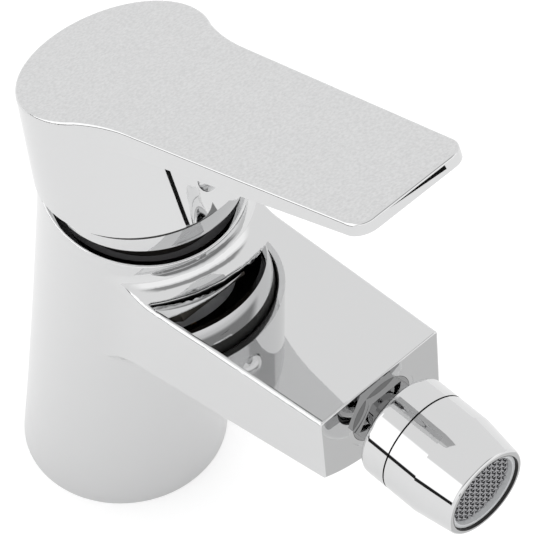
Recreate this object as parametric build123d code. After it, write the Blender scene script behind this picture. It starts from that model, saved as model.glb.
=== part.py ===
from build123d import *
from math import atan, cos, degrees, hypot, radians, sin, sqrt, tan
import os

# A single lever bidet mixer, modelled with its lever raised, as it stands in the photograph.
# Lengths are in millimetres and angles in degrees.
# Origin: centre of the base on the deck. +Z is up, the spout points along -Y and +X is to the right.

# Clearances
skin = 0.04  # keeps two surfaces from coinciding where solids are joined
run = 0.05  # radial play of a running fit
free = 0.1  # play of a seated or threaded fit
ball_play = 0.05
over = 1.0  # overrun of a cut

# Radii that follow the cartridge outwards: nut, cap, handle hub and the body's lip
housing_radius = 17.45
nut_wall = 1.9
dome_nut_gap = 2.35
dome_wall = 1.3
dome_hub_gap = 0.6
hub_wall = 1.56  # metal of the hub outside its ball-shaped hollow
pivot_rise = 6.59  # lever pivot above the lip, on the column's axis
recess_gap = 0.27
lip_wall = 1.5
foot_spread = 2.0  # the column is this much wider in radius at the deck than at its lip
nut_radius = housing_radius + nut_wall
dome_radius = nut_radius + dome_nut_gap + dome_wall
hub_cavity = dome_radius + dome_hub_gap
hub_low_radius = hub_cavity + hub_wall
recess_radius = sqrt(dome_radius ** 2 - pivot_rise ** 2) + recess_gap  # the cap's rim dips into it
lip_radius = recess_radius + lip_wall
base_radius = lip_radius + foot_spread

# Body: a round column that leans forward, with a crowned spout
lean = 11.41  # forward tilt of the column and of the cartridge in it
lip_height = 115.24  # centre of the body's top lip above the deck
waist_inset = 0.33  # how far the column's side is hollowed halfway up
column_wall = 3.2
spout_reach = 98.63  # front face of the spout ahead of the origin
spout_top = 109.66  # top edge of the front face above the deck
spout_rise = 6.97  # slope of the flat top
spout_half_width = 17.685  # at the front face
spout_taper = 1.85  # each side widens by this angle towards the column
crown_low = 85.67  # lowest point of the front face above the deck
crown_rise = 13.44  # slope of the underside
crown_radius = 39.0
top_blend = 5.5  # hollow fillet between the spout's top and the column
under_blend = 12.0  # hollow fillet between the underside and the column
side_blend = 22.0  # hollow plan radius that carries each side into the column
edge_round = 0.5  # rounding of the front face's edges
long_round = 1.2  # rounding of the spout's two long top edges
lip_round = 0.5

# Waterways and sockets in the body
seat_depth = 27.3  # cartridge seat below the lip
block_height = 24.0  # solid metal under the seat
seat_gap = 0.3
seat_bore = housing_radius + seat_gap
nut_bore = nut_radius + free
nut_bore_depth = 9.5
chamber_gap = 1.55  # ring of water round the cartridge's foot
chamber_radius = housing_radius + chamber_gap
chamber_top_depth = 16.0
spout_bore = 6.5
spout_bore_start_height = 91.0
spout_bore_start_back = 12.5  # behind the cartridge's ring of water
inlet_offset = 8.5  # each supply inlet from the column's axis, sideways
inlet_back = 3.0
inlet_thread_radius = 5.0
inlet_thread_depth = 13.0
inlet_passage = 3.4
stud_ahead = 12.0
stud_radius = 4.0
stud_depth = 15.0
socket_radius = 8.6
socket_depth = 9.0
gasket_height = 2.4
gasket_width = 2.4
gasket_inset = 1.0  # rim of metal outside the base gasket

# Top of the body: slide ring, floating dome cap and cartridge nut
recess_depth = 3.4
slide_ring_height = 1.5
slide_ring_lip = 0.6
dome_rim_drop = 4.0  # the cap's rim below the pivot, along the cap's own axis
dome_tilt = 10.0  # the raised lever has tipped the cap back by this angle
dome_side_angle = 15.0  # the ball-shaped side ends this far above the pivot's level
dome_top_rise = 9.2
dome_opening = 10.0
dome_gap = 0.4  # air between the dome and whatever swings over it
nut_hex_inset = 0.3
hexagon_angle = 30.0
nut_hex = 2 * (nut_radius - nut_hex_inset) * cos(radians(hexagon_angle))
nut_hex_height = 4.6

# Cartridge
housing_wall = 1.9
housing_top = 9.0  # above the lip
neck_wall = 2.3
shoulder_depth = 3.0
neck_bore = 11.5
neck_radius = neck_bore + neck_wall
nut_neck_gap = 0.3
nut_neck_bore = neck_radius + nut_neck_gap
rotor_radius = neck_bore - run
rotor_flange_gap = 0.65
rotor_flange = housing_radius - housing_wall - rotor_flange_gap
rotor_flange_height = 2.0
ring_seal_depth = 12.4
ring_seal_section = 1.3
ring_seal_squeeze = 0.15
disc_gap = 1.35
disc_radius = housing_radius - housing_wall - disc_gap
moving_disc_radius = 11.0
moving_disc_height = 3.0
mixing_chamber_radius = 5.5
mixing_chamber_roof = 1.0
fixed_disc_height = 3.8
base_height = 5.0
coupler_height = 7.3
coupler_floor = 1.2  # under the pocket of the stem's ball end
coupler_slot = 2.8  # half width of the pocket that the stem's ball end rides in
stem_half = 3.9
stem_ball = 2.6
stem_waist = 1.5
stem_arm = 18.0  # from the pivot down to the middle of the ball end
pin_radius = 1.75
pin_inset = 0.55
pin_half_length = rotor_radius - pin_inset
port_radius = 3.2

# Handle, drawn about its own axis with the pivot as zero
handle_lean = 11.92  # backward tilt of the raised handle's axis
hub_low = 1.75
hub_high = 29.21
hub_narrowing = 2.55
hub_high_radius = hub_low_radius - hub_narrowing
hub_foot_tilt = 6.63  # the hub's lower edge dips to the front
hub_top_tilt = 8.31  # the blade rises to the front against the hub's own axis
blade_length = 99.9  # from the hub's centre
blade_near = 30.0
blade_near_half = 17.11
blade_near_depth = 5.95
blade_far = 90.0
blade_far_half = 15.32
blade_far_depth = 3.38
blade_corner = 4.5
neck_blend = 50.0
blade_tuck = 0.2  # lets the blade's hollow arcs run a little way into the hub
handle_edge = 0.8
boss_radius = 9.2
boss_low = 11.6
screw_level = 7.4
screw_slope = 26.0
raise_margin = 2.0  # angle kept clear past the raised lever
screw_radius = 2.4
screw_length = 8.0
screw_web = 4.8
plug_radius = 2.8
plug_depth = 3.0
plug_crown = 3.4  # radius of the button's domed face
plug_proud = 1.5

# Swivel spray head, measured forward from the spout's nose along its own axis
swivel_drop = 11.37  # seat's centre below the spout's top edge
swivel_inset = 0.63  # seat's centre behind the front face
swivel_height = spout_top - swivel_drop
swivel_start = spout_reach - swivel_inset
swivel_tilt = 0.85
nipple_hex = 15.0
nipple_hex_start = 0.5
nipple_seat = 9.8  # radius of the flat spot faced for the nipple
nipple_hex_end = 2.3
nipple_neck = 4.3
nipple_bore = 3.2
ball_radius = 9.6
ball_centre = 13.5
ball_nose = 6.0
slip_wall = 0.7
slip_radius = ball_radius + ball_play + slip_wall
slip_bore_play = 0.075
slip_bore = slip_radius + slip_bore_play
slip_near = 3.5
slip_far = 6.3
seal_near = 3.7
seal_far = 6.5
seal_wall = 0.95
seal_radius = ball_radius + ball_play + seal_wall
collar_back = 6.2
collar_catch = 2.35  # how far the collar reaches in over the slip ring
collar_opening = slip_radius - collar_catch
thread_wall = 0.775
head_thread = slip_bore + thread_wall
collar_wall = 1.3
collar_radius = head_thread + collar_wall
collar_round = 1.6
seam = 13.97
seam_gap = 0.4  # shadow line between the collar and the housing
head_bore_end = 1.5  # the bore over the slip ring ends this far beyond the ball's centre
head_end = 32.36
head_narrowing = 1.52
head_end_radius = collar_radius - head_narrowing
head_lip_radius = 7.4
insert_seat = 21.9
insert_wall = 1.28
insert_radius = head_end_radius - insert_wall - free
insert_front = 31.6
insert_ring = 0.85
insert_opening = insert_radius - insert_ring
rim_round = 0.9
washer_height = 1.4
diffuser_height = 2.2
mesh_height = 0.6
jet_radius = 0.6
jet_ring_shares = (0.3, 0.62, 0.9)
jet_counts = (6, 12, 18)

os.makedirs("parts", exist_ok=True)

lip_back = -lip_height * tan(radians(lean))
axis_length = lip_height / cos(radians(lean))
lean_cos = cos(radians(lean))
lean_sin = sin(radians(lean))
cart_place = Location((0, lip_back, lip_height), (lean, 0, 0))
pivot = (0, lip_back - pivot_rise * lean_sin, lip_height + pivot_rise * lean_cos)
hub_place = Location(pivot, (-handle_lean, 0, 0))
right_angle = 90.0
spray_place = Location((0, -swivel_start, swivel_height), (right_angle + swivel_tilt, 0, 0))
huge = 4 * axis_length


def turned(*points):
    """Solid of revolution about Z of a closed outline given as radius and height pairs."""
    outline = Polyline(*[(radius, 0, height) for radius, height in points], close=True)
    return revolve(make_face(outline.edges()), Axis.Z)


def tube(inner, outer, low, high):
    if inner == 0:
        return turned((0, low), (outer, low), (outer, high), (0, high))
    return turned((inner, low), (outer, low), (outer, high), (inner, high))


def rod(radius, start, end):
    """Straight round bar between two points."""
    path = Vector(*end) - Vector(*start)
    place = Plane(origin=start, z_dir=path)
    return extrude(place * Circle(radius), path.length)


def slab(x_half, y_low, y_high, z_low, z_high):
    middle = (0, (y_low + y_high) / 2, (z_low + z_high) / 2)
    return Pos(*middle) * Box(2 * x_half, y_high - y_low, z_high - z_low)


def hexagon_bar(across_flats, low, high):
    shape = RegularPolygon(across_flats / 2, 6, major_radius=False)
    return Pos(0, 0, low) * extrude(shape, high - low)


def below_plane(height, tilt, size):
    """Half space under a plane through (0, 0, height) that rises towards -Y by the tilt."""
    return Location((0, 0, height), (-tilt, 0, 0)) * Pos(0, 0, -size / 2) * Box(size, size, size)


def save(node, shape, place=None):
    """Write one node, moved into the shared frame if it was drawn in its own."""
    solid = place * shape if place is not None else shape
    solid.label = node
    export_step(solid, "parts/" + node + ".step")


# Body shell

def column_radius(depth, inset=0):
    part = depth / axis_length
    straight = lip_radius + (base_radius - lip_radius) * part
    return straight - 4 * waist_inset * part * (1 - part) - inset


column_end = axis_length + base_radius * tan(radians(lean)) + column_wall
station_shares = (0, 0.25, 0.5, 0.75, 1)


def column(inset=0, top=0):
    depths = [top + share * (column_end - top) for share in station_shares]
    side = Spline(*[(column_radius(depth, inset), 0, -depth) for depth in depths])
    low, high = -depths[-1], -depths[0]
    foot = Line((column_radius(depths[-1], inset), 0, low), (0, 0, low))
    core = Line((0, 0, low), (0, 0, high))
    head = Line((0, 0, high), (column_radius(depths[0], inset), 0, high))
    return revolve(make_face([side, foot, core, head]), Axis.Z)


def in_column_frame(point):
    ahead = point.Y - lip_back
    up = point.Z - lip_height
    return point.X, ahead * lean_cos + up * lean_sin, -ahead * lean_sin + up * lean_cos


rise_tan = tan(radians(spout_rise))
crown_centre = (0, -spout_reach, crown_low + crown_radius / cos(radians(crown_rise)))
edge_match = 0.02
probe_shares = (0.1, 0.35, 0.6, 0.9)


def top_offset(point):
    return abs((point.Z - spout_top) + (point.Y + spout_reach) * rise_tan)


def crown_offset(point):
    ahead = (point.Y - crown_centre[1]) * sin(radians(crown_rise))
    up = (point.Z - crown_centre[2]) * cos(radians(crown_rise))
    return abs(hypot(ahead + up, point.X) - crown_radius)


def column_offset(point):
    x, y, height = in_column_frame(point)
    return abs(hypot(x, y) - column_radius(-height, skin))


def joint_edges(solid, offset):
    """Edges where the given face of the spout meets the column."""
    found = []
    for edge in solid.edges():
        points = [edge @ share for share in probe_shares]
        if all(offset(point) < edge_match and column_offset(point) < edge_match for point in points):
            found.append(edge)
    return found


crown = Location(crown_centre, (right_angle - crown_rise, 0, 0)) * Cylinder(crown_radius, huge)
top_plane = Pos(0, -spout_reach, 0) * below_plane(spout_top, spout_rise, huge)
beam = crown & top_plane & slab(huge, -spout_reach, 2 * base_radius, 0, huge)
blended = cart_place * column(skin) + beam
blended = blended.fillet(top_blend, joint_edges(blended, top_offset))
blended = blended.fillet(under_blend, joint_edges(blended, crown_offset))


def plan_outline(depth):
    """Plan of the spout at one depth below the lip, with hollow arcs that run into the column."""
    taper = tan(radians(spout_taper))
    slope = lean_cos * taper
    axis_ahead = lip_back + depth * lean_sin
    half = spout_half_width + (spout_reach + axis_ahead) * taper
    length = hypot(1, slope)
    reach = column_radius(depth, 2 * skin) + side_blend
    ax = half + side_blend / length
    ay = -side_blend * slope / length
    square = slope * slope + 1
    linear = 2 * (ax * slope + ay)
    rest = ax * ax + ay * ay - reach * reach
    along = (-linear - sqrt(linear * linear - 4 * square * rest)) / (2 * square)
    centre = Vector(ax + slope * along, ay + along)
    start = Vector(half + slope * along, along)
    end = centre * ((reach - side_blend) / reach)
    middle = centre + ((start - centre) + (end - centre)).normalized() * side_blend
    front = Vector(half - slope * spout_reach, -spout_reach)
    inside = Vector(end.X / 2, 0)

    def across(point):
        return Vector(-point.X, point.Y)

    edges = [
        Line(front, start),
        ThreePointArc(start, middle, end),
        Line(end, inside),
        Line(inside, across(inside)),
        Line(across(inside), across(end)),
        ThreePointArc(across(end), across(middle), across(start)),
        Line(across(start), across(front)),
        Line(across(front), front),
    ]
    return Pos(0, 0, -depth) * make_face(edges)


plan_low = lip_height - crown_low + 2 * base_radius
plan_block = loft([plan_outline(plan_low), plan_outline(-lip_radius / 2)], ruled=True)
spout = blended & (cart_place * plan_block)


def rounded(solid, edges, radius):
    """Fillet the edges together, or leave them sharp if the shape does not allow it."""
    try:
        result = solid.fillet(radius, edges)
    except Exception:
        print("left sharp:", len(edges), "edges")
        return solid
    if result.is_valid and abs(result.volume) > 0:
        return result
    print("left sharp:", len(edges), "edges")
    return solid


long_edges = [
    edge for edge in spout.edges()
    if all(top_offset(edge @ share) < edge_match for share in probe_shares)
    and abs(edge.center().X) > spout_half_width / 2
    and abs(edge.center().Y + spout_reach) > edge_match
]
spout = rounded(spout, long_edges, long_round)
front_edges = [edge for edge in spout.edges() if abs(edge.center().Y + spout_reach) < edge_match]
spout = rounded(spout, front_edges, edge_round)
shell = cart_place * column() + spout
shell = shell - slab(huge, -huge, huge, -huge, 0)

# Hollows of the body, in the column's frame
seat = -seat_depth
block_low = seat - block_height
bores = tube(0, nut_bore, -nut_bore_depth, over)
bores += tube(0, recess_radius, -recess_depth, over)
bores += tube(0, seat_bore, seat, 0)
bores += tube(0, chamber_radius, seat, -chamber_top_depth)
skirt = turned(
    (0, block_low),
    (column_radius(-block_low, column_wall), block_low),
    (column_radius(axis_length, column_wall), -axis_length),
    (column_radius(axis_length, column_wall), -column_end - over),
    (0, -column_end - over),
)
bores += skirt
for side in (-1, 1):
    inlet = Pos(side * inlet_offset, inlet_back, 0)
    bores += inlet * tube(0, inlet_thread_radius, block_low - over, block_low + inlet_thread_depth)
    bores += inlet * tube(0, inlet_passage, block_low, seat + over)
bores += Pos(0, -stud_ahead, 0) * tube(0, stud_radius, block_low - over, block_low + stud_depth)
body = shell - cart_place * bores
channel_start = (0, lip_back - spout_bore_start_back, spout_bore_start_height)
channel_end = (0, -swivel_start + socket_depth - over, swivel_height)
body = body - rod(spout_bore, channel_start, channel_end)
body = body - spray_place * tube(0, socket_radius, -socket_depth, 2 * over)
body = body - spray_place * tube(0, nipple_seat, nipple_hex_start, 2 * over)
gasket_outer = base_radius - gasket_inset
gasket_inner = gasket_outer - gasket_width
body = body - tube(gasket_inner - free, gasket_outer + free, -over, gasket_height)
lip_edges = [
    edge for edge in body.edges()
    if abs(in_column_frame(edge.center())[2]) < edge_match
    and abs(hypot(*in_column_frame(edge @ 0)[:2]) - lip_radius) < edge_match
]
body = rounded(body, lip_edges, lip_round)
save("body", body)
save("base_gasket", tube(gasket_inner, gasket_outer, 0, gasket_height))

# Slide ring and nut in the column's frame, and the cap tipped back about the pivot
ring_top = -recess_depth + slide_ring_height
slide_ring = turned(
    (nut_radius + free, -recess_depth),
    (recess_radius - run, -recess_depth),
    (recess_radius - run, ring_top),
    (recess_radius - slide_ring_lip, ring_top),
    (recess_radius - slide_ring_lip, ring_top - slide_ring_lip),
    (nut_radius + free, ring_top - slide_ring_lip),
)
save("slide_ring", slide_ring, cart_place)

dome_inner = dome_radius - dome_wall
side_high = dome_radius * sin(radians(dome_side_angle))
side_high_radius = dome_radius * cos(radians(dome_side_angle))
dome_low = -dome_rim_drop
dome_low_radius = sqrt(dome_radius ** 2 - dome_low ** 2)
dome_low_inner = sqrt(dome_inner ** 2 - dome_low ** 2)
inner_high = dome_inner * sin(radians(dome_side_angle))
inner_high_radius = dome_inner * cos(radians(dome_side_angle))
roof_fall = (dome_top_rise - side_high) / 2
outline = [
    Line((dome_low_inner, 0, dome_low), (dome_low_radius, 0, dome_low)),
    ThreePointArc(
        (dome_low_radius, 0, dome_low), (dome_radius, 0, 0), (side_high_radius, 0, side_high)
    ),
    Line((side_high_radius, 0, side_high), (side_high_radius - roof_fall, 0, side_high + roof_fall)),
    Line((side_high_radius - roof_fall, 0, side_high + roof_fall), (dome_opening, 0, dome_top_rise)),
    Line((dome_opening, 0, dome_top_rise), (dome_opening, 0, dome_top_rise - dome_wall)),
    Line(
        (dome_opening, 0, dome_top_rise - dome_wall),
        (inner_high_radius - roof_fall, 0, inner_high + roof_fall),
    ),
    Line((inner_high_radius - roof_fall, 0, inner_high + roof_fall), (inner_high_radius, 0, inner_high)),
    ThreePointArc((inner_high_radius, 0, inner_high), (dome_inner, 0, 0), (dome_low_inner, 0, dome_low)),
]
dome_cap = revolve(make_face(outline), Axis.Z)
dome_place = Location(pivot, (lean - dome_tilt, 0, 0))
save("dome_cap", dome_cap, dome_place)

nut_low = -nut_bore_depth + free
nut = turned(
    (housing_radius + free, nut_low),
    (nut_radius, nut_low),
    (nut_radius, 0),
    (nut_neck_bore, 0),
    (nut_neck_bore, -shoulder_depth),
    (housing_radius + free, -shoulder_depth),
)
nut_head = hexagon_bar(nut_hex, 0, nut_hex_height) - tube(0, nut_neck_bore, -over, nut_hex_height + over)
save("cartridge_nut", nut + nut_head, cart_place)

# Cartridge, in the column's frame
housing_inner = housing_radius - housing_wall
rotor_flange_top = -shoulder_depth - housing_wall
foot_top = seat + base_height
housing = turned(
    (housing_inner, foot_top),
    (housing_radius, foot_top),
    (housing_radius, -shoulder_depth),
    (neck_radius, -shoulder_depth),
    (neck_radius, housing_top),
    (neck_bore, housing_top),
    (neck_bore, rotor_flange_top),
    (housing_inner, rotor_flange_top),
)
ring_low = -ring_seal_depth - ring_seal_section
ring_high = -ring_seal_depth + ring_seal_section
housing -= tube(housing_radius - ring_seal_section, housing_radius + over, ring_low, ring_high)
save("cartridge_housing", housing, cart_place)
ring_inner = housing_radius - ring_seal_section + ring_seal_squeeze
ring_seal = tube(ring_inner, seat_bore - run, ring_low + free, ring_high - free)
save("housing_seal", ring_seal, cart_place)

fixed_top = foot_top + fixed_disc_height
moving_low = fixed_top + run
moving_top = moving_low + moving_disc_height
coupler_top = moving_top + coupler_height
port_places = [Pos(side * inlet_offset, inlet_back, 0) for side in (-1, 1)]
out_place = Pos(0, -inlet_offset, 0)
foot = tube(0, housing_radius, seat, foot_top)
for place in port_places:
    foot -= place * tube(0, port_radius, seat - over, foot_top + over)
    foot -= place * tube(0, port_radius + ring_seal_section + free, seat - over, seat + ring_seal_section)
foot -= out_place * tube(0, port_radius, seat + base_height / 2, foot_top + over)
foot -= slab(port_radius, -2 * housing_radius, -inlet_offset, seat + base_height / 2 - port_radius / 2,
             seat + base_height / 2 + port_radius / 2)
save("cartridge_base", foot, cart_place)
inlet_seals = Compound(children=[
    place * tube(port_radius, port_radius + ring_seal_section, seat, seat + ring_seal_section)
    for place in port_places
])
save("inlet_seals", inlet_seals, cart_place)

fixed_disc = tube(0, disc_radius, foot_top, fixed_top)
for place in port_places:
    fixed_disc -= place * tube(0, port_radius, foot_top - over, fixed_top + over)
fixed_disc -= out_place * tube(0, port_radius, foot_top - over, fixed_top + over)
save("fixed_disc", fixed_disc, cart_place)

# The raised stem leans back in the cartridge and carries its ball end, coupler and disc forward
stem_lean = lean + handle_lean
carry = stem_arm * sin(radians(stem_lean))
disc_place = Pos(0, -carry / 2, 0)
moving_disc = disc_place * tube(0, moving_disc_radius, moving_low, moving_top)
mix_chamber = disc_place * tube(0, mixing_chamber_radius, moving_low - over, moving_top - mixing_chamber_roof)
moving_disc -= mix_chamber
save("moving_disc", moving_disc, cart_place)
coupler = disc_place * tube(0, moving_disc_radius, moving_top, coupler_top)
coupler -= slab(coupler_slot, -carry - coupler_slot, -carry + coupler_slot, moving_top + coupler_floor,
                coupler_top + over)
save("disc_coupler", coupler, cart_place)

rotor_low = rotor_flange_top - rotor_flange_height
rotor_top = housing_top + over
rotor = tube(0, rotor_radius, rotor_low, rotor_top)
rotor += tube(0, rotor_flange, rotor_low, rotor_flange_top - run)
rotor -= slab(stem_half + free, -rotor_radius + over, rotor_radius - over, rotor_low - over, rotor_top + over)
rotor -= Pos(0, 0, pivot_rise) * Rot(0, right_angle, 0) * Cylinder(pin_radius + run, 2 * pin_half_length)
save("rotor", rotor, cart_place)
pin = Rot(0, right_angle, 0) * Cylinder(pin_radius, 2 * (pin_half_length - over))
save("pivot_pin", Pos(0, 0, pivot_rise) * pin, cart_place)

# Stem and handle, in the hub's frame with the pivot as zero
stem_top = hub_high - 2 * dome_wall
stem = slab(stem_half, -stem_half, stem_half, -stem_half, stem_top)
stem += rod(stem_waist, (0, 0, 0), (0, 0, -stem_arm))
stem += Pos(0, 0, -stem_arm) * Sphere(stem_ball)
stem -= Rot(0, right_angle, 0) * Cylinder(pin_radius + run, 4 * stem_half)
save("stem", stem, hub_place)

hub_radius_share = 0.3
hub_slope = (hub_low_radius - hub_high_radius) / (hub_high - hub_low)
hub_start = hub_low - hub_radius_share * hub_low_radius
hub_stop = hub_high + hub_radius_share * hub_low_radius


def hub_radius(level):
    return hub_low_radius - hub_slope * (level - hub_low)


hub = turned(
    (0, hub_start), (hub_radius(hub_start), hub_start), (hub_radius(hub_stop), hub_stop), (0, hub_stop)
)

side_slope = (blade_near_half - blade_far_half) / (blade_far - blade_near)


def blade_half(along):
    return blade_near_half - side_slope * (along - blade_near)


def blade_outline():
    """Plan of the blade seen square to its top, with hollow arcs that run into the hub."""
    slope = side_slope
    half = blade_half(0)
    length = hypot(1, slope)
    reach = hub_high_radius - blade_tuck + neck_blend
    ax = half + neck_blend / length
    ay = -neck_blend * slope / length
    square = slope * slope + 1
    linear = 2 * (ax * slope + ay)
    rest = ax * ax + ay * ay - reach * reach
    along = (-linear - sqrt(linear * linear - 4 * square * rest)) / (2 * square)
    centre = Vector(ax + slope * along, ay + along)
    start = Vector(half + slope * along, along)
    end = centre * ((reach - neck_blend) / reach)
    middle = centre + ((start - centre) + (end - centre)).normalized() * neck_blend
    tip = Vector(blade_half(blade_length), -blade_length)
    inside = Vector(end.X / 2, 0)

    def across(point):
        return Vector(-point.X, point.Y)

    edges = [
        Line(tip, start),
        ThreePointArc(start, middle, end),
        Line(end, inside),
        Line(inside, across(inside)),
        Line(across(inside), across(end)),
        ThreePointArc(across(end), across(middle), across(start)),
        Line(across(start), across(tip)),
        Line(across(tip), tip),
    ]
    return make_face(edges)


blade_place = Location((0, 0, hub_high), (-hub_top_tilt, 0, 0))
depth_slope = (blade_near_depth - blade_far_depth) / (blade_far - blade_near)
root_depth = blade_near_depth + blade_near * depth_slope
blade = Pos(0, 0, -root_depth) * extrude(blade_outline(), 2 * root_depth)
corners = [
    edge for edge in blade.edges()
    if abs(edge.center().Y + blade_length) < edge_match and abs(edge.center().X) > blade_far_half / 2
    and abs((edge @ 0).X - (edge @ 1).X) < edge_match
]
blade = blade.fillet(blade_corner, corners)
under_tilt = degrees(atan(depth_slope))
blade -= below_plane(-root_depth, under_tilt, huge)
handle = hub + blade_place * blade
handle -= Location((0, 0, hub_low), (hub_foot_tilt, 0, 0)) * Pos(0, 0, -huge / 2) * Box(huge, huge, huge)
handle &= below_plane(hub_high, hub_top_tilt, huge)


def on_handle_top(edge):
    """True for an edge that lies in the handle's flat top."""
    for share in probe_shares:
        point = edge @ share
        if abs(point.Z - hub_high + point.Y * tan(radians(hub_top_tilt))) > edge_match:
            return False
    return True


handle = rounded(handle, [edge for edge in handle.edges() if on_handle_top(edge)], handle_edge)

# The hub is cored to clear the dome through the whole lift, and keeps a boss and a web for the screw
dome_tip = dome_top_rise + dome_gap
most_raised = stem_lean + raise_margin
closed_top = below_plane(dome_tip, 0, huge)
raised_top = below_plane(dome_tip / cos(radians(most_raised)), -most_raised, huge)
screw_run = (-cos(radians(screw_slope)), sin(radians(screw_slope)))
mouth = (0, -hub_radius(screw_level), screw_level)


def along_screw(distance):
    return (0, mouth[1] - screw_run[0] * distance, mouth[2] + screw_run[1] * distance)


boss = tube(0, boss_radius, boss_low, hub_high)
web = rod(screw_web, along_screw(0), along_screw(hub_low_radius - boss_radius / 2))
cavity = Sphere(hub_cavity) & below_plane(hub_high - 2 * dome_wall, hub_top_tilt, huge)
dome_clear = Sphere(hub_cavity) & (closed_top + raised_top)
solid_core = (boss + web) - dome_clear
handle -= cavity - solid_core
handle -= slab(stem_half + free, -stem_half - free, stem_half + free, 0, stem_top + free)
screw_end = (hub_radius(screw_level) - stem_half) / cos(radians(screw_slope)) - screw_radius
handle -= rod(screw_radius + free, along_screw(-over), along_screw(screw_end + over))
handle -= rod(plug_radius + free, along_screw(-2 * over), along_screw(plug_depth))
save("handle", handle, hub_place)
set_screw = rod(screw_radius, along_screw(screw_end - screw_length), along_screw(screw_end))
save("set_screw", set_screw, hub_place)
plug_dome = Pos(*along_screw(plug_crown - plug_proud)) * Sphere(plug_crown)
plug = rod(plug_radius, along_screw(-plug_proud), along_screw(plug_depth))
plug &= plug_dome + rod(plug_radius, along_screw(plug_crown - plug_proud), along_screw(plug_depth))
plug -= Sphere(hub_cavity)
save("screw_plug", plug, hub_place)

# Swivel spray head, in its own frame with Z running forward
ball = Pos(0, 0, ball_centre) * Sphere(ball_radius)
ball &= tube(0, ball_radius + over, ball_centre - ball_radius - over, ball_centre + ball_nose)
nipple = ball + tube(0, nipple_neck, 0, ball_centre)
nipple += hexagon_bar(nipple_hex, nipple_hex_start, nipple_hex_end)
nipple += tube(0, socket_radius - free, -socket_depth + washer_height, nipple_hex_start)
nipple -= tube(0, nipple_bore, -socket_depth - over, ball_centre + ball_radius)
save("nipple", nipple, spray_place)
nipple_washer = tube(nipple_bore + over, socket_radius - free, -socket_depth, -socket_depth + washer_height)
save("nipple_washer", nipple_washer, spray_place)


def ball_zone(inner, outer, near, far):
    """Part of a hollow ball between two distances from the ball's centre along Z."""
    def edge_radius(radius, level):
        return sqrt(radius ** 2 - level ** 2)

    middle = (near + far) / 2
    edges = [
        ThreePointArc((edge_radius(inner, near), 0, near), (edge_radius(inner, middle), 0, middle),
                      (edge_radius(inner, far), 0, far)),
        Line((edge_radius(inner, far), 0, far), (edge_radius(outer, far), 0, far)),
        ThreePointArc((edge_radius(outer, far), 0, far), (edge_radius(outer, middle), 0, middle),
                      (edge_radius(outer, near), 0, near)),
        Line((edge_radius(outer, near), 0, near), (edge_radius(inner, near), 0, near)),
    ]
    return Pos(0, 0, ball_centre) * revolve(make_face(edges), Axis.Z)


save("slip_ring", ball_zone(ball_radius + ball_play, slip_radius, -slip_far, -slip_near), spray_place)
save("seat_seal", ball_zone(ball_radius + ball_play, seal_radius, seal_near, seal_far), spray_place)

thread_back = ball_centre - slip_near + ball_play * 2
collar = tube(0, collar_radius, collar_back, seam - seam_gap)
collar = collar.fillet(collar_round, [edge for edge in collar.edges()
                                      if abs(edge.center().Z - collar_back) < edge_match])
collar -= tube(0, collar_opening, collar_back - over, ball_centre)
collar -= Pos(0, 0, ball_centre) * Sphere(slip_radius + ball_play)
collar -= tube(0, head_thread + free, thread_back, seam + over)
save("collar", collar, spray_place)

seal_bore = sqrt((seal_radius + ball_play) ** 2 - seal_near ** 2)
head_shell = turned(
    (0, thread_back),
    (head_thread, thread_back),
    (head_thread, seam),
    (collar_radius, seam),
    (collar_radius, insert_seat),
    (head_end_radius, head_end),
    (0, head_end),
)
head_shell = head_shell.fillet(rim_round, [edge for edge in head_shell.edges()
                                           if abs(edge.center().Z - head_end) < edge_match])
head_shell -= tube(0, slip_bore, thread_back - over, ball_centre + head_bore_end)
head_shell -= tube(0, seal_bore, thread_back - over, ball_centre + seal_near)
seat_cut = Pos(0, 0, ball_centre) * Sphere(seal_radius + ball_play)
seat_cut &= tube(0, collar_radius, ball_centre + seal_near - over, ball_centre + seal_far + ball_play)
head_shell -= seat_cut
head_shell -= tube(0, head_lip_radius, ball_centre, insert_seat + over)
head_shell -= tube(0, insert_radius + free, insert_seat, head_end + over)
save("aerator_housing", head_shell, spray_place)

washer_top = insert_seat + washer_height
save("aerator_washer", tube(head_lip_radius, insert_radius, insert_seat, washer_top), spray_place)
diffuser_top = washer_top + diffuser_height
diffuser = tube(0, insert_radius, washer_top, diffuser_top)
for ring_share, count in zip(jet_ring_shares, jet_counts):
    ring = PolarLocations(ring_share * head_lip_radius, count)
    for spot in ring:
        diffuser -= spot * tube(0, jet_radius, washer_top - over, diffuser_top + over)
save("aerator_diffuser", diffuser, spray_place)
mesh_back = insert_front - 2 * mesh_height
cage = tube(insert_opening, insert_radius, diffuser_top, insert_front)
cage += tube(insert_opening - over, insert_radius, diffuser_top, mesh_back - mesh_height)
save("aerator_cage", cage, spray_place)
save("aerator_mesh", tube(0, insert_opening, mesh_back - mesh_height, mesh_back), spray_place)
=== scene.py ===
from functools import partial
from math import cos, pi, radians, sin

import bpy
from mathutils import Matrix, Vector


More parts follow.
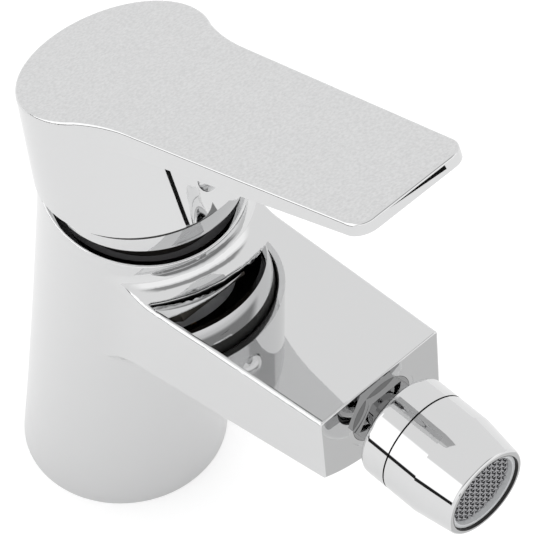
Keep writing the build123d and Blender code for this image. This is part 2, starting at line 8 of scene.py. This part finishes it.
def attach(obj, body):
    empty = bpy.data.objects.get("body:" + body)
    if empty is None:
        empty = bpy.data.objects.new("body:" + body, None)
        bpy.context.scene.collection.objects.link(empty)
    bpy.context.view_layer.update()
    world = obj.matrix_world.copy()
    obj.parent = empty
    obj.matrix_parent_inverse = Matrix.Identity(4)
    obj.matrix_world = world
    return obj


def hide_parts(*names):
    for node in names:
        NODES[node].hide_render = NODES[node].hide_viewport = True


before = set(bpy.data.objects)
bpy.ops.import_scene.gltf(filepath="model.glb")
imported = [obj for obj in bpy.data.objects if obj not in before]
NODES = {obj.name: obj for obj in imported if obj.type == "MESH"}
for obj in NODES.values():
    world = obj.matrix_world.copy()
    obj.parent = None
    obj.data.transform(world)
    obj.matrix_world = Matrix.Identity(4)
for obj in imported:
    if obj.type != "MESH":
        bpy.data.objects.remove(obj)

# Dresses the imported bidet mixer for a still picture: polished chrome, a woven wire disc in the
# spray head, and a white floor and soft light round it. Sizes are in metres, and a grain is in
# features per metre.

bl_info = {
    "name": "Bidet mixer",
    "version": (1, 0, 0),
    "blender": (4, 5, 0),
    "location": "View3D > Sidebar > Mixer",
    "description": "Finishes and detail for a single lever bidet mixer",
    "category": "Object",
}

MM = 0.001

# The leaning column's axis, the centre of its lip, and the pivot of the lever
LEAN = radians(11.41)
AXIS = Vector((0, -sin(LEAN), cos(LEAN)))
LIP = Vector((0, -0.023256, 0.11524))
PIVOT = Vector((0, -0.024561, 0.1217))

# The spray head's axis, the direction square to it, and the centre of its seat in the spout
DIP = radians(0.85)
FORWARD = Vector((0, -cos(DIP), -sin(DIP)))
UPWARD = Vector((0, -sin(DIP), cos(DIP)))
NOSE = Vector((0, -0.098, 0.09829))

# Where pieces are dull dark metal, partly the bare metal inside them and partly painted shade in
# recesses and gaps. A tube is its radius, and its start and end along its axis from its centre. The
# cap is dull above a level that is measured from the pivot, square to the hub's rim.
# The body is dark inside its lip as painted shade in the recess
LIP_TUBE = (0.02245, -0.06, -0.0030)
# Painted shade on the housing: at its thread in the gap by the collar, and on its mouth's recessed wall
THREAD_TUBE = (0.0117, -0.002, 0.014)
MOUTH_TUBE = (0.00985, 0.02, 0.0325)
# The handle's hub is dark inside this ball, as painted shade in its hollow
HUB_BALL = 0.0239
# The cap's dark band under the hub is painted shade
RIM_NORMAL = Vector((0, 0.0922, 0.9957))
CAP_PAINTED_SHADE_FROM = -0.0013

# Plating, its fine mottling where a face looks the way the blade's top does, and the dark metal
# under it, partly bare metal and partly painted shade
HAZE_GRAIN = 45
HAZE_ROUGHNESS = (0.012, 0.03)
MOTTLE_GRAIN = 1500
BLADE_NORMAL = Vector((0, 0.346, 0.938))
BLADE_FACING = 0.85
# Colour of the dull metal: partly bare metal, partly painted shade in recesses and gaps
CAST_AND_PAINTED_SHADE_COLOUR = (0.035, 0.034, 0.033)
CAST_METALLIC = 0.6
CAST_GRAIN = 1500
CAST_ROUGHNESS = (0.45, 0.65)
# The nipple's chrome is darkened by this factor, as painted shade under the blade and the collar
NIPPLE_PAINTED_SHADE = 0.55

# Noise mostly fills this part of 0 to 1. A finish has ripples finer than its grain.
NOISE_RANGE = (0.3, 0.7)
RIPPLES_PER_GRAIN = 3
RIPPLE_DEPTH = 0.02 * MM

# Finishes: name, colour or the property that holds it, roughness from and to, grain, strength of
# the ripples, and the nodes that wear it
METALS = (
    ("Turned brass", (0.6, 0.42, 0.16), (0.2, 0.3), 400, 0.1, ("stem",)),
    ("Blackened brass", (0.1, 0.09, 0.08), (0.3, 0.45), 600, 0.1, ("cartridge_nut",)),
    ("Plain steel", (0.5, 0.5, 0.52), (0.25, 0.35), 500, 0.1,
     ("pivot_pin", "set_screw", "aerator_mesh")),
)
PLASTICS = (
    ("Black rubber", "rubber", (0.5, 0.65), 900, 0.2,
     ("base_gasket", "housing_seal", "inlet_seals", "nipple_washer", "seat_seal", "aerator_washer")),
    ("Black plastic", (0.02, 0.02, 0.022), (0.35, 0.45), 700, 0.1,
     ("rotor", "disc_coupler", "slip_ring")),
    ("Glide plastic", (0.13, 0.13, 0.135), (0.12, 0.2), 700, 0.05, ("slide_ring",)),
    ("Cartridge plastic", (0.6, 0.61, 0.62), (0.4, 0.5), 700, 0.1,
     ("cartridge_housing", "cartridge_base")),
    ("Lapped ceramic", (0.8, 0.79, 0.76), (0.1, 0.2), 900, 0.05, ("fixed_disc", "moving_disc")),
    ("Grey insert", "insert", (0.35, 0.5), 900, 0.1, ("aerator_cage",)),
    # The diffuser's near black colour is painted shade inside the spray head
    ("Insert in painted shade", (0.03, 0.03, 0.032), (0.5, 0.6), 900, 0.1, ("aerator_diffuser",)),
)

# The woven disc lies square to the spray head's axis, at its level in front of the seat
WEAVE_RADIUS = 8.73 * MM
WEAVE_PITCH = 1.15 * MM
WEAVE_LEVEL = 30.1 * MM
WEAVE_TURN = 0.75  # radians about the spray head's axis
WEAVE_FEWEST_FACES = 1000
WIRE_RADIUS = 0.25 * MM
WIRE_COUNT = 15
WIRE_POINTS = 72
WIRE_SIDES = 8
WIRE_COLOUR = (0.36, 0.36, 0.37)
WIRE_ROUGHNESS = (0.2, 0.3)
WIRE_GRAIN = 900

# The camera's turn is its azimuth, elevation and roll in degrees, and its sensor is in millimetres
CAMERA_PLACE = (-0.2828, -0.4197, 0.6809)
CAMERA_TURN = (-38.56, 51.16, -6.02)
SENSOR_WIDTH = 36
CLIP_END = 20

# The floor glows a little for the camera alone, and has another grey for all other rays
FLOOR_CORNERS = ((-0.95, -1.6, 0), (1.5, -1.6, 0), (1.5, 1.5, 0), (-0.95, 1.5, 0))
FLOOR_GREY = 0.75
FLOOR_GLOW = 0.36
FLOOR_OTHER_GREY = 0.92

# Flags and a grey sheet that only the plating mirrors: name, grey level and corners
FLAGS = (
    ("Tall_flag", 0.01,
     ((-0.068, -0.42, 0), (-0.044, -0.42, 0), (-0.085, -0.42, 0.06), (-0.125, -0.42, 0.06))),
    ("Tip_flag", 0.01,
     ((-0.004, -0.128, 0.1794), (0.0165, -0.128, 0.1782), (0.0165, -0.128, 0.1798),
      (-0.004, -0.128, 0.1798))),
    ("Grey_sheet", 0.63,
     ((-0.02, -0.3, 0.001), (0.16, -0.3, 0.001), (0.16, -0.135, 0.001), (-0.02, -0.135, 0.001))),
)

# Strength of the world for the light it gives, for mirrored rays outside the zones below, and for
# the camera
DIFFUSE_STRENGTH = 1.12
MIRRORED_STRENGTH = 0.95
CAMERA_STRENGTH = 1.0

# Zones of the world that the plating mirrors, as parts of a direction's x, y or z. A band is from,
# to and its soft edge, with FAR past the end of any direction. A zone's last number is its strength.
FAR = 2.0
FRONT_Y = (-FAR, -0.45, 0.12)
FRONT_ZONES_Z = ((0.5, 0.73, 0.04, 0.35), (-0.02, 0.4, 0.05, 1.2))
LEFT_X = (-FAR, -0.4, 0.03)
REAR_Y = (-0.1, FAR, 0.08)
REAR_LEFT_ZONES_Z = ((0.03, 0.72, 0.02, 1.5), (-FAR, 0.015, 0.01, 0.02))


# Node helpers

def new_material(name):
    """An empty node material and its node tree."""
    material = bpy.data.materials.new(name)
    material.use_nodes = True
    material.node_tree.nodes.clear()
    return material, material.node_tree


def add(tree, kind, **settings):
    """A node with its properties set, and the values of the inputs that start with in_."""
    node = tree.nodes.new(kind)
    for key, value in settings.items():
        if key.startswith("in_"):
            name = key[3:].replace("_", " ")
            node.inputs[name].default_value = value
        else:
            setattr(node, key, value)
    return node


def join(tree, source, output, target, socket):
    """Links an output of one node to an input of another."""
    tree.links.new(source.outputs[output], target.inputs[socket])


def feed(tree, value, target, socket):
    """Links an output into a node's input, or sets a plain number there."""
    if isinstance(value, (int, float)):
        target.inputs[socket].default_value = value
    else:
        tree.links.new(value, target.inputs[socket])


def after(tree, source, kind, **settings):
    """A new node whose first input takes the first output of another node."""
    node = add(tree, kind, **settings)
    join(tree, source, 0, node, 0)
    return node


def surface(tree, shader):
    """Ends a material with its shader."""
    end = add(tree, "ShaderNodeOutputMaterial")
    join(tree, shader, 0, end, "Surface")


def mixed(tree, mask, first, second):
    """The second shader where the mask is 1, and the first where it is 0."""
    node = add(tree, "ShaderNodeMixShader")
    feed(tree, mask, node, 0)
    join(tree, first, 0, node, 1)
    join(tree, second, 0, node, 2)
    return node


def math_node(tree, operation, *values):
    """The result of a math node fed by sockets or by plain numbers."""
    node = add(tree, "ShaderNodeMath", operation=operation)
    for slot, value in enumerate(values):
        feed(tree, value, node, slot)
    return node.outputs[0]


def vector_of(tree, x=0.0, y=0.0, z=0.0):
    """A vector of sockets or plain numbers."""
    node = add(tree, "ShaderNodeCombineXYZ")
    for slot, value in enumerate((x, y, z)):
        feed(tree, value, node, slot)
    return node.outputs[0]


def grey(level):
    """An opaque grey."""
    return level, level, level, 1


# Masks on object coordinates. A mask builder takes a node tree and gives the mask's socket.

def offset_from(tree, centre):
    """Object coordinates measured from a point."""
    place = add(tree, "ShaderNodeTexCoord")
    shift = add(tree, "ShaderNodeVectorMath", operation="SUBTRACT")
    shift.inputs[1].default_value = centre
    join(tree, place, "Object", shift, 0)
    return shift.outputs["Vector"]


def along(tree, offset, direction):
    """Distance of a point along a direction."""
    node = add(tree, "ShaderNodeVectorMath", operation="DOT_PRODUCT")
    node.inputs[1].default_value = direction
    feed(tree, offset, node, 0)
    return node.outputs["Value"]


def away(tree, offset, direction=None):
    """Distance of a point from a centre, or from a line through it."""
    if direction is not None:
        cross = add(tree, "ShaderNodeVectorMath", operation="CROSS_PRODUCT")
        cross.inputs[1].default_value = direction
        feed(tree, offset, cross, 0)
        offset = cross.outputs["Vector"]
    node = add(tree, "ShaderNodeVectorMath", operation="LENGTH")
    feed(tree, offset, node, 0)
    return node.outputs["Value"]


def inside_ball(centre, radius):
    """Mask builder: 1 nearer to the centre than the radius."""
    def mask(tree):
        return math_node(tree, "LESS_THAN", away(tree, offset_from(tree, centre)), radius)
    return mask


def inside_tube(centre, direction, radius, low, high):
    """Mask builder: 1 inside a cylinder between two distances along its axis."""
    def mask(tree):
        offset = offset_from(tree, centre)
        near = math_node(tree, "LESS_THAN", away(tree, offset, direction), radius)
        distance = along(tree, offset, direction)
        above = math_node(tree, "GREATER_THAN", distance, low)
        below = math_node(tree, "LESS_THAN", distance, high)
        return math_node(tree, "MULTIPLY", near, math_node(tree, "MULTIPLY", above, below))
    return mask


def above_level(centre, direction, level):
    """Mask builder: 1 farther along a direction than the level."""
    def mask(tree):
        return math_node(tree, "GREATER_THAN", along(tree, offset_from(tree, centre), direction), level)
    return mask


def either(first, second):
    """Mask builder: 1 where either mask is."""
    def mask(tree):
        return math_node(tree, "MAXIMUM", first(tree), second(tree))
    return mask


# Finishes

def object_noise(tree, grain, detail=2.0):
    """Noise on object coordinates."""
    place = add(tree, "ShaderNodeTexCoord")
    noise = add(tree, "ShaderNodeTexNoise", in_Scale=grain, in_Detail=detail)
    join(tree, place, "Object", noise, "Vector")
    return noise


def spread(tree, noise, low, high):
    """Stretches a noise so that it mostly fills a range."""
    node = add(tree, "ShaderNodeMapRange", in_From_Min=NOISE_RANGE[0], in_From_Max=NOISE_RANGE[1],
               in_To_Min=low, in_To_Max=high)
    join(tree, noise, "Fac", node, "Value")
    return node.outputs["Result"]


def finish_of(name, colour, metallic, roughness, grain, ripples):
    """A solid finish whose roughness and height vary with fine noise."""
    material, tree = new_material(name)
    shader = add(tree, "ShaderNodeBsdfPrincipled", in_Base_Color=(*colour, 1), in_Metallic=metallic)
    feed(tree, spread(tree, object_noise(tree, grain, 3.0), *roughness), shader, "Roughness")
    if ripples > 0:
        height = add(tree, "ShaderNodeBump", in_Strength=ripples, in_Distance=RIPPLE_DEPTH)
        join(tree, object_noise(tree, grain * RIPPLES_PER_GRAIN), "Fac", height, "Height")
        join(tree, height, "Normal", shader, "Normal")
    surface(tree, shader)
    return material


def polish(tree, colour, mottle):
    """Shader of the plating, with a mottling of its colour on faces that look like the blade's top."""
    shader = add(tree, "ShaderNodeBsdfPrincipled", in_Base_Color=(*colour, 1), in_Metallic=1.0)
    feed(tree, spread(tree, object_noise(tree, HAZE_GRAIN), *HAZE_ROUGHNESS), shader, "Roughness")
    if mottle > 0:
        speckle = spread(tree, object_noise(tree, MOTTLE_GRAIN), -mottle, mottle)
        facing = along(tree, add(tree, "ShaderNodeTexCoord").outputs["Normal"], BLADE_NORMAL)
        on_top = math_node(tree, "GREATER_THAN", facing, BLADE_FACING)
        tint = add(tree, "ShaderNodeVectorMath", operation="SCALE")
        tint.inputs[0].default_value = colour
        tone = math_node(tree, "ADD", math_node(tree, "MULTIPLY", speckle, on_top), 1.0)
        feed(tree, tone, tint, "Scale")
        join(tree, tint, "Vector", shader, "Base Color")
    return shader


def cast_metal_and_painted_shade(tree):
    """Shader of the dull dark metal inside plated pieces, which also paints shade into their recesses.
    """
    shader = add(tree, "ShaderNodeBsdfPrincipled", in_Base_Color=(*CAST_AND_PAINTED_SHADE_COLOUR, 1),
                 in_Metallic=CAST_METALLIC)
    feed(tree, spread(tree, object_noise(tree, CAST_GRAIN, 3.0), *CAST_ROUGHNESS), shader, "Roughness")
    return shader


def plated(name, colour, mask=None, mottle=0.0):
    """Polished plating, with dull dark metal where the mask is 1, partly bare metal and partly painted
    shade.
    """
    material, tree = new_material(name)
    shader = polish(tree, colour, mottle)
    if mask is not None:
        # Painted shade: dull dark metal where the mask is 1
        shader = mixed(tree, mask(tree), shader, cast_metal_and_painted_shade(tree))
    surface(tree, shader)
    return material


def dress(node, material):
    """Gives a CAD node one material."""
    mesh = NODES[node].data
    mesh.materials.clear()
    mesh.materials.append(material)


def dress_all(finishes, metallic, colours):
    """Makes each finish of a table, and dresses its nodes."""
    for name, colour, roughness, grain, ripples, nodes in finishes:
        if isinstance(colour, str):
            colour = getattr(colours, colour)
        material = finish_of(name, colour, metallic, roughness, grain, ripples)
        for node in nodes:
            dress(node, material)


class MixerFinishes(bpy.types.PropertyGroup):
    """Colours of the finishes."""
    chrome: bpy.props.FloatVectorProperty(
        name="Chrome", description="Colour of the polished plating", subtype="COLOR",
        default=(0.705, 0.707, 0.71), min=0, max=1)
    insert: bpy.props.FloatVectorProperty(
        name="Insert", description="Colour of the grey aerator insert", subtype="COLOR",
        default=(0.62, 0.63, 0.64), min=0, max=1)
    mottle: bpy.props.FloatProperty(
        name="Mottle", description="Strength of the fine mottling on the lever",
        default=0.07, min=0, max=0.2)
    rubber: bpy.props.FloatVectorProperty(
        name="Rubber", description="Colour of the seals", subtype="COLOR",
        default=(0.015, 0.015, 0.016), min=0, max=1)


class MixerStudio(bpy.types.PropertyGroup):
    """Camera and studio."""
    lens: bpy.props.FloatProperty(
        name="Lens", description="Focal length of the camera in millimetres", default=221.27, min=20)


class MIXER_OT_metal(bpy.types.Operator):
    """Polished chrome with painted shade in its hollows, and plain metals for the solid pieces."""
    bl_idname = "mixer.metal"
    bl_label = "Metal pieces"

    def execute(self, context):
        colours = context.scene.mixer_finishes
        tone = tuple(colours.chrome)
        # Painted shade: the body is dark in the recess under its lip, and the handle inside its hub
        dress("body", plated("Plated body with painted shade", tone, inside_tube(LIP, AXIS, *LIP_TUBE)))
        dress("handle", plated("Plated handle with painted shade", tone, inside_ball(PIVOT, HUB_BALL), colours.mottle))
        # Painted shade: the cap is dark above a level, where it sits under the hub
        dress("dome_cap", plated("Plated cap with painted shade", tone, above_level(PIVOT, RIM_NORMAL, CAP_PAINTED_SHADE_FROM)))
        # Painted shade: the housing is dark at its thread by the collar and on the recessed wall of its
        # mouth
        painted_shade_ends = either(inside_tube(NOSE, FORWARD, *THREAD_TUBE), inside_tube(NOSE, FORWARD, *MOUTH_TUBE))
        dress("aerator_housing", plated("Plated housing with painted shade", tone, painted_shade_ends))
        chrome = plated("Polished chrome", tone)
        for node in ("collar", "screw_plug"):
            dress(node, chrome)
        # Painted shade: the nipple is darker chrome where it sits under the blade and the collar
        dress("nipple", plated("Chrome in painted shade", tuple(NIPPLE_PAINTED_SHADE * part for part in tone)))
        dress_all(METALS, 1.0, colours)
        return {"FINISHED"}


class MIXER_OT_plastic(bpy.types.Operator):
    """Moulded plastic, ceramic and rubber pieces."""
    bl_idname = "mixer.plastic"
    bl_label = "Plastic and rubber pieces"

    def execute(self, context):
        dress_all(PLASTICS, 0.0, context.scene.mixer_finishes)
        return {"FINISHED"}


# The woven disc

def weave_tree():
    """Geometry nodes that lay the wires of a plain weave across a disc."""
    tree = bpy.data.node_groups.new("Wire weave", "GeometryNodeTree")
    tree.interface.new_socket("Geometry", in_out="OUTPUT", socket_type="NodeSocketGeometry")
    for name, kind in (("Radius", "NodeSocketFloat"), ("Pitch", "NodeSocketFloat"),
                       ("Wire", "NodeSocketFloat"), ("Count", "NodeSocketInt"),
                       ("Material", "NodeSocketMaterial")):
        tree.interface.new_socket(name, in_out="INPUT", socket_type=kind)
    given = add(tree, "NodeGroupInput")
    radius, pitch, wire, count = (given.outputs[name] for name in ("Radius", "Pitch", "Wire", "Count"))
    calc = partial(math_node, tree)

    # Straight wires along X, side by side, each as long as the disc is wide there
    first = calc("MULTIPLY", calc("MULTIPLY", calc("SUBTRACT", count, 1.0), -0.5), pitch)
    rows = add(tree, "GeometryNodeMeshLine")
    feed(tree, count, rows, "Count")
    feed(tree, vector_of(tree, y=first), rows, "Start Location")
    feed(tree, vector_of(tree, y=pitch), rows, "Offset")
    line = add(tree, "GeometryNodeCurvePrimitiveLine", in_Start=(-1, 0, 0), in_End=(1, 0, 0))
    split = after(tree, add(tree, "GeometryNodeInputPosition"), "ShaderNodeSeparateXYZ")
    across = split.outputs["Y"]
    squared = calc("SUBTRACT", calc("MULTIPLY", radius, radius), calc("MULTIPLY", across, across))
    reach = calc("SQRT", calc("MAXIMUM", squared, 0.0))
    laid = after(tree, rows, "GeometryNodeInstanceOnPoints")
    join(tree, line, "Curve", laid, "Instance")
    feed(tree, vector_of(tree, reach, 1.0, 1.0), laid, "Scale")

    # Each wire goes over and under by its own radius, in turn with its neighbours
    real = after(tree, laid, "GeometryNodeRealizeInstances")
    fine = after(tree, real, "GeometryNodeResampleCurve", in_Count=WIRE_POINTS)
    phase = calc("MULTIPLY", calc("DIVIDE", calc("ADD", split.outputs["X"], across), pitch), pi)
    waved = after(tree, fine, "GeometryNodeSetPosition")
    feed(tree, vector_of(tree, z=calc("MULTIPLY", calc("COSINE", phase), wire)), waved, "Offset")
    ring = add(tree, "GeometryNodeCurvePrimitiveCircle", in_Resolution=WIRE_SIDES)
    feed(tree, wire, ring, "Radius")
    round_wire = after(tree, waved, "GeometryNodeCurveToMesh", in_Fill_Caps=True)
    join(tree, ring, "Curve", round_wire, "Profile Curve")

    # The wires that cross them are the same ones, turned over and by a right angle
    turned = after(tree, round_wire, "GeometryNodeTransform", in_Rotation=(pi, 0, pi / 2))
    both = after(tree, round_wire, "GeometryNodeJoinGeometry")
    join(tree, turned, "Geometry", both, "Geometry")
    painted = after(tree, both, "GeometryNodeSetMaterial")
    join(tree, given, "Material", painted, "Material")
    after(tree, after(tree, painted, "GeometryNodeSetShadeSmooth"), "NodeGroupOutput")
    return tree


def grown(name, tree, values):
    """Evaluates a geometry tree with its inputs set, and keeps the result as a plain mesh."""
    holder = bpy.data.objects.new(name + " source", bpy.data.meshes.new(name + " source"))
    bpy.context.scene.collection.objects.link(holder)
    modifier = holder.modifiers.new(name, "NODES")
    modifier.node_group = tree
    for item in tree.interface.items_tree:
        if item.item_type == "SOCKET" and item.in_out == "INPUT":
            modifier[item.identifier] = values[item.name]
    bpy.context.view_layer.update()
    graph = bpy.context.evaluated_depsgraph_get()
    mesh = bpy.data.meshes.new_from_object(holder.evaluated_get(graph), depsgraph=graph)
    holder.modifiers.remove(modifier)
    bpy.data.objects.remove(holder)
    mesh.name = name
    item = bpy.data.objects.new(name, mesh)
    bpy.context.scene.collection.objects.link(item)
    return item


class MIXER_OT_weave(bpy.types.Operator):
    """Woven wire disc in the mouth of the spray head."""
    bl_idname = "mixer.weave"
    bl_label = "Wire weave"

    def execute(self, context):
        wire = finish_of("Woven wire", WIRE_COLOUR, 1.0, WIRE_ROUGHNESS, WIRE_GRAIN, 0.0)
        values = {"Radius": WEAVE_RADIUS, "Pitch": WEAVE_PITCH, "Wire": WIRE_RADIUS,
                  "Count": WIRE_COUNT, "Material": wire}
        weave = grown("Wire_weave", weave_tree(), values)
        if len(weave.data.polygons) < WEAVE_FEWEST_FACES:
            raise RuntimeError("the weave has too few faces")
        side = UPWARD.cross(FORWARD)
        first = cos(WEAVE_TURN) * side + sin(WEAVE_TURN) * UPWARD
        second = FORWARD.cross(first)
        frame_turn = Matrix((first, second, FORWARD)).transposed().to_4x4()
        weave.data.transform(Matrix.Translation(NOSE + FORWARD * WEAVE_LEVEL) @ frame_turn)
        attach(weave, "spray_head")
        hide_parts("aerator_mesh")
        return {"FINISHED"}


# The studio

def camera_axes(azimuth, elevation, roll):
    """Right, up and back of a camera that looks down at the object."""
    a, e, r = radians(azimuth), radians(elevation), radians(roll)
    back = Vector((sin(a) * cos(e), -cos(a) * cos(e), sin(e)))
    right = Vector((cos(a), sin(a), 0))
    up = back.cross(right)
    return cos(r) * right + sin(r) * up, cos(r) * up - sin(r) * right, back


def place_camera(scene):
    """Adds the camera and makes it the scene's own."""
    data = bpy.data.cameras.new("Camera")
    data.lens = scene.mixer_studio.lens
    data.sensor_width = SENSOR_WIDTH
    data.clip_end = CLIP_END
    camera = bpy.data.objects.new("Camera", data)
    scene.collection.objects.link(camera)
    turn = Matrix(camera_axes(*CAMERA_TURN)).transposed()
    camera.matrix_world = Matrix.Translation(CAMERA_PLACE) @ turn.to_4x4()
    scene.camera = camera


def flat_piece(name, corners, material):
    """A flat four cornered piece of the studio."""
    mesh = bpy.data.meshes.new(name)
    mesh.from_pydata(corners, [], [(0, 1, 2, 3)])
    mesh.materials.append(material)
    item = bpy.data.objects.new(name, mesh)
    bpy.context.scene.collection.objects.link(item)
    return item


def lay_floor():
    """A floor that looks as white as the world behind it."""
    white, tree = new_material("White sweep")
    glowing = after(tree, add(tree, "ShaderNodeBsdfDiffuse", in_Color=grey(FLOOR_GREY)),
                    "ShaderNodeAddShader")
    join(tree, add(tree, "ShaderNodeEmission", in_Strength=FLOOR_GLOW), 0, glowing, 1)
    plain = add(tree, "ShaderNodeBsdfDiffuse", in_Color=grey(FLOOR_OTHER_GREY))
    path = add(tree, "ShaderNodeLightPath")
    surface(tree, mixed(tree, path.outputs["Is Camera Ray"], plain, glowing))
    floor = flat_piece("Floor", FLOOR_CORNERS, white)


def hang_flags():
    """Flat pieces that nothing but a mirrored ray meets."""
    for name, level, corners in FLAGS:
        cloth, tree = new_material(name)
        surface(tree, add(tree, "ShaderNodeBsdfDiffuse", in_Color=grey(level)))
        flag = flat_piece(name, corners, cloth)
        flag.visible_camera = False
        flag.visible_diffuse = False
        flag.visible_shadow = False


def ramp_up(tree, value, low, high):
    """Smooth step of a value from 0 to 1."""
    node = add(tree, "ShaderNodeMapRange", interpolation_type="SMOOTHSTEP", in_From_Min=low,
               in_From_Max=high)
    feed(tree, value, node, "Value")
    return node.outputs["Result"]


def band(tree, value, low, high, soft):
    """1 between two values, with soft edges."""
    rise = ramp_up(tree, value, low - soft, low + soft)
    fall = ramp_up(tree, value, high - soft, high + soft)
    return math_node(tree, "MULTIPLY", rise, math_node(tree, "SUBTRACT", 1.0, fall))


def toned(tree, below, mask, tone):
    """Moves a strength towards a tone where the mask is 1."""
    node = add(tree, "ShaderNodeMix", data_type="FLOAT")
    for slot, value in ((0, mask), (2, below), (3, tone)):
        feed(tree, value, node, slot)
    return node.outputs[0]


def background(tree, strength):
    """A white background."""
    node = add(tree, "ShaderNodeBackground", in_Color=grey(1))
    feed(tree, strength, node, "Strength")
    return node


def light_the_world(scene):
    """Even light on the piece, white behind it, and a studio for the plating to mirror."""
    world = bpy.data.worlds.new("Studio")
    scene.world = world
    world.use_nodes = True
    tree = world.node_tree
    tree.nodes.clear()
    split = add(tree, "ShaderNodeSeparateXYZ")
    join(tree, add(tree, "ShaderNodeTexCoord"), "Generated", split, "Vector")
    x, y, z = split.outputs
    front = band(tree, y, *FRONT_Y)
    rear_left = math_node(tree, "MULTIPLY", band(tree, x, *LEFT_X), band(tree, y, *REAR_Y))
    level = MIRRORED_STRENGTH
    for side, zones in ((front, FRONT_ZONES_Z), (rear_left, REAR_LEFT_ZONES_Z)):
        for low, high, soft, tone in zones:
            mask = math_node(tree, "MULTIPLY", side, band(tree, z, low, high, soft))
            level = toned(tree, level, mask, tone)
    path = add(tree, "ShaderNodeLightPath")
    seen = background(tree, DIFFUSE_STRENGTH)
    for ray, strength in (("Is Glossy Ray", level), ("Is Camera Ray", CAMERA_STRENGTH)):
        seen = mixed(tree, path.outputs[ray], seen, background(tree, strength))
    end = add(tree, "ShaderNodeOutputWorld")
    join(tree, seen, 0, end, "Surface")


class MIXER_OT_studio(bpy.types.Operator):
    """White floor, soft light and the camera."""
    bl_idname = "mixer.studio"
    bl_label = "Studio"

    def execute(self, context):
        scene = context.scene
        place_camera(scene)
        lay_floor()
        hang_flags()
        light_the_world(scene)
        scene.view_settings.view_transform = "Standard"
        return {"FINISHED"}


class MIXER_PT_panel(bpy.types.Panel):
    """Lists the finishes and the steps that dress the mixer."""
    bl_idname = "MIXER_PT_panel"
    bl_label = "Mixer"
    bl_space_type = "VIEW_3D"
    bl_region_type = "UI"
    bl_category = "Mixer"

    def draw(self, context):
        for group in (context.scene.mixer_finishes, context.scene.mixer_studio):
            for name in group.__annotations__:
                self.layout.prop(group, name)
        for step in STEPS:
            self.layout.operator(step.bl_idname)


STEPS = (MIXER_OT_metal, MIXER_OT_plastic, MIXER_OT_weave, MIXER_OT_studio)
GROUPS = (MixerFinishes, MixerStudio)


def register():
    """Makes the groups, the operators and the panel known to Blender."""
    for item in GROUPS + STEPS + (MIXER_PT_panel,):
        bpy.utils.register_class(item)
    bpy.types.Scene.mixer_finishes = bpy.props.PointerProperty(type=MixerFinishes)
    bpy.types.Scene.mixer_studio = bpy.props.PointerProperty(type=MixerStudio)


def unregister():
    """Takes back what register added."""
    del bpy.types.Scene.mixer_studio
    del bpy.types.Scene.mixer_finishes
    for item in reversed(GROUPS + STEPS + (MIXER_PT_panel,)):
        bpy.utils.unregister_class(item)


def main():
    """Runs every step."""
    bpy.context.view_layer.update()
    register()
    for step in STEPS:
        group, name = step.bl_idname.split(".")
        getattr(getattr(bpy.ops, group), name)()


if __name__ == "__main__":
    main()
